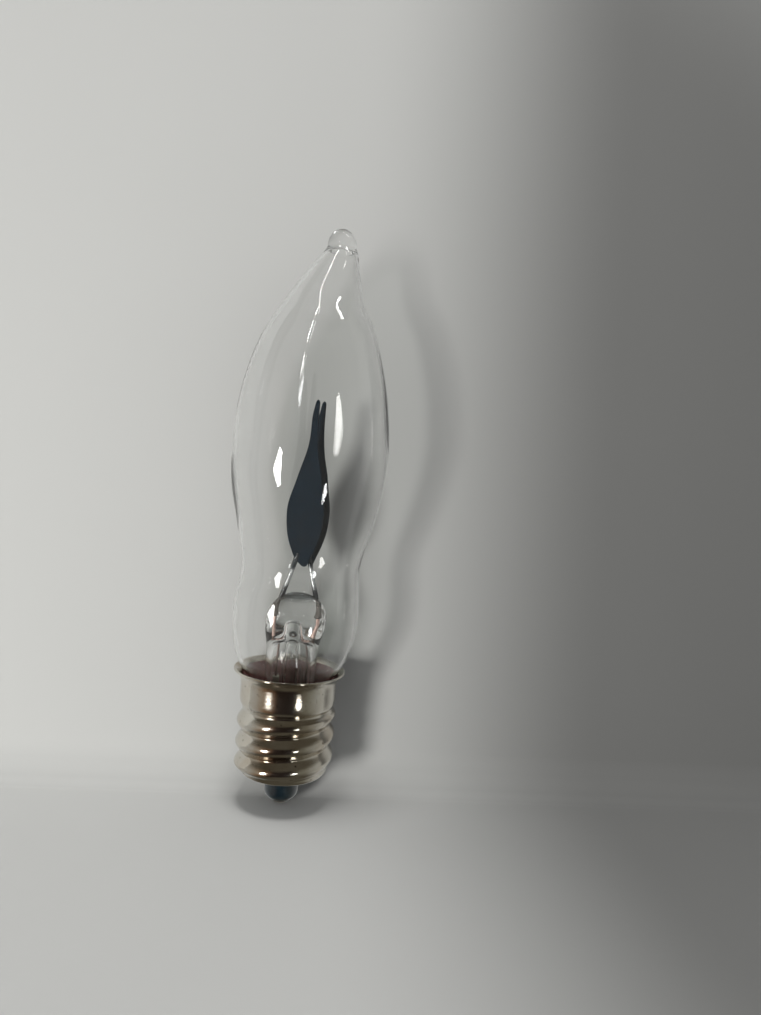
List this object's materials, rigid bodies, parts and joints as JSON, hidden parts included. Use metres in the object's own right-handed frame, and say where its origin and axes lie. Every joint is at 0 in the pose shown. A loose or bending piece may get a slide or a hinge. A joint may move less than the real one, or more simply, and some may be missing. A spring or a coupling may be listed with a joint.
{
  "type": "flicker flame bulb",
  "caption": "Flicker flame glow bulb: clear blown glass with a bent tip, two dark flame-shaped plates on wires above a pinched glass stem, small plated screw cap with black glass base.",
  "frame": {"origin": "tip of the centre contact, on the screw cap's axis", "axes": "+Z along the screw cap's axis from the contact to the glass tip; +X is the side that the glass tip bends to; -Y is the front"},
  "size_m": [0.0182, 0.0182, 0.0676],
  "materials": {
    "clear_glass": "clear polished",
    "stem_glass": "clear fire-polished",
    "electrode_coating": "dark satin emitter coating",
    "support_nickel": "drawn nickel",
    "press_lead_copper": "pink copper sheath",
    "lead_copper": "copper",
    "sleeve": "woven insulation",
    "solder": "dull solder",
    "resistor_lead": "tinned",
    "resistor_lacquer": "lacquered",
    "cement": "baked basing cement",
    "cap_plating": "nickel plate, slightly worn",
    "black_glass": "gloss",
    "contact_brass": "tinned"
  },
  "bodies": {
    "root": {"envelope": "clear_glass", "stem": "stem_glass", "exhaust_tube": "stem_glass", "electrode_front": "electrode_coating", "electrode_rear": "electrode_coating", "support_wire_left": "support_nickel", "support_wire_right": "support_nickel", "press_lead_left": "press_lead_copper", "press_lead_right": "press_lead_copper", "outer_lead_left": "lead_copper", "outer_lead_right": "lead_copper", "lead_sleeve": "sleeve", "splice_solder": "solder", "resistor_lead_in": "resistor_lead", "ballast_resistor": "resistor_lacquer", "resistor_lead_out": "resistor_lead", "basing_cement": "cement", "screw_shell": "cap_plating", "insulator": "black_glass", "centre_contact": "contact_brass", "centre_solder": "solder", "side_solder": "solder"}
  },
  "joints": []
}
